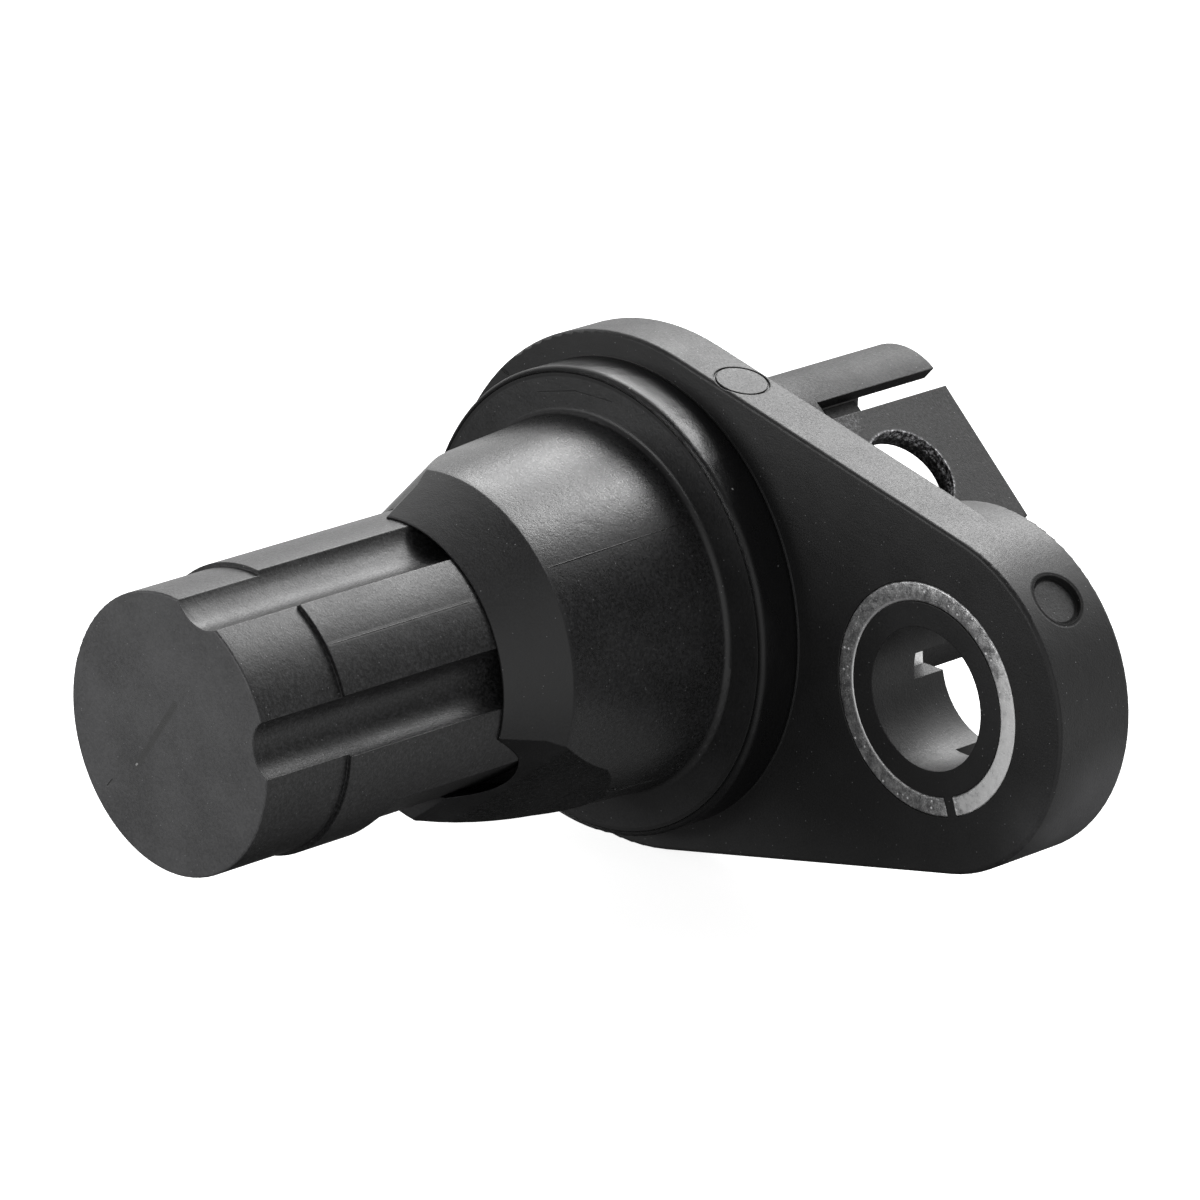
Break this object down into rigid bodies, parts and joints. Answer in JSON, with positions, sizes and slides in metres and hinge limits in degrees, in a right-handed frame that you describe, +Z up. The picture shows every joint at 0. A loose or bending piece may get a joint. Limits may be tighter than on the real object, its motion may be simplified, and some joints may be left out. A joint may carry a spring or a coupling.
{
  "type": "camshaft position sensor",
  "caption": "Flange-mounted position sensor with a ribbed nose, rubber seal ring, one bolt ear with a split metal bush and a rear plug socket.",
  "frame": {"origin": "where the sensor's axis meets the flange's mounting face", "axes": "-Y along the sensor's axis towards its tip, +X from that axis to the bolt hole, +Z up"},
  "size_m": [0.0415, 0.0521, 0.026],
  "materials": {
    "housing_plastic": "black glass-filled plastic, fine grain",
    "nose_plastic": "black glass-filled plastic, satin",
    "seal_rubber": "smooth black rubber",
    "bush_steel": "bare rolled steel, dull and mottled",
    "terminal_metal": "tin-plated brass",
    "lead_metal": "tinned copper alloy",
    "carrier_plastic": "dark moulded plastic",
    "resin": "cured black resin",
    "chip_epoxy": "moulded epoxy",
    "plate_steel": "bare steel",
    "magnet": "nickel-plated magnet",
    "board_laminate": "green solder mask on glass laminate",
    "small_part_ceramic": "fired ceramic",
    "solder": "bright solder"
  },
  "bodies": {
    "root": {"housing": "housing_plastic", "nose_cap": "nose_plastic", "seal_ring": "seal_rubber", "mounting_bush": "bush_steel", "cap_seal_ring": "seal_rubber", "terminal_carrier": "carrier_plastic", "supply_terminal": "terminal_metal", "signal_terminal": "terminal_metal", "ground_terminal": "terminal_metal", "potting_resin": "resin", "chip_holder": "carrier_plastic", "hall_chip": "chip_epoxy", "pole_plate": "plate_steel", "bias_magnet": "magnet", "supply_lead": "lead_metal", "signal_lead": "lead_metal", "ground_lead": "lead_metal", "circuit_board": "board_laminate", "supply_capacitor": "small_part_ceramic", "series_resistor": "small_part_ceramic", "signal_capacitor": "small_part_ceramic", "terminal_solder": "solder", "lead_solder": "solder"}
  },
  "joints": []
}
